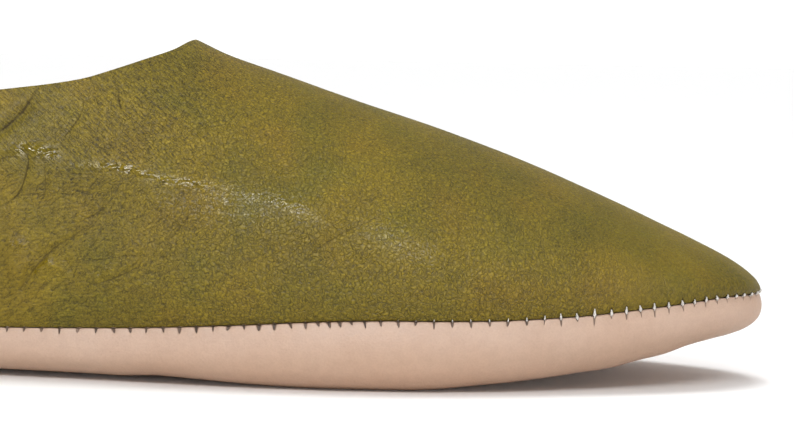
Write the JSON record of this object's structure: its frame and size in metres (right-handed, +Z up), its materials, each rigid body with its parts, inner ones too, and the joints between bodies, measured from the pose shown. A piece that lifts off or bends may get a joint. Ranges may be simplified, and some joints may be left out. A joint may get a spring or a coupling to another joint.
{
  "type": "babouche slipper",
  "caption": "Leather babouche slipper with a pointed toe, low open collar and a turned-up leather sole whip-stitched to the upper.",
  "frame": {"origin": "on the floor, under the middle of the object's box", "axes": "+Z up, +X towards the toe, the outer side of the foot towards -Y"},
  "size_m": [0.2558, 0.0904, 0.0716],
  "materials": {
    "outsole": "natural vegetable-tanned leather, matt",
    "upper": "waxed goatskin, satin, creased",
    "insole": "thin lining leather, matt"
  },
  "bodies": {
    "root": {"outsole": "outsole", "upper": "upper", "insole": "insole"}
  },
  "joints": []
}
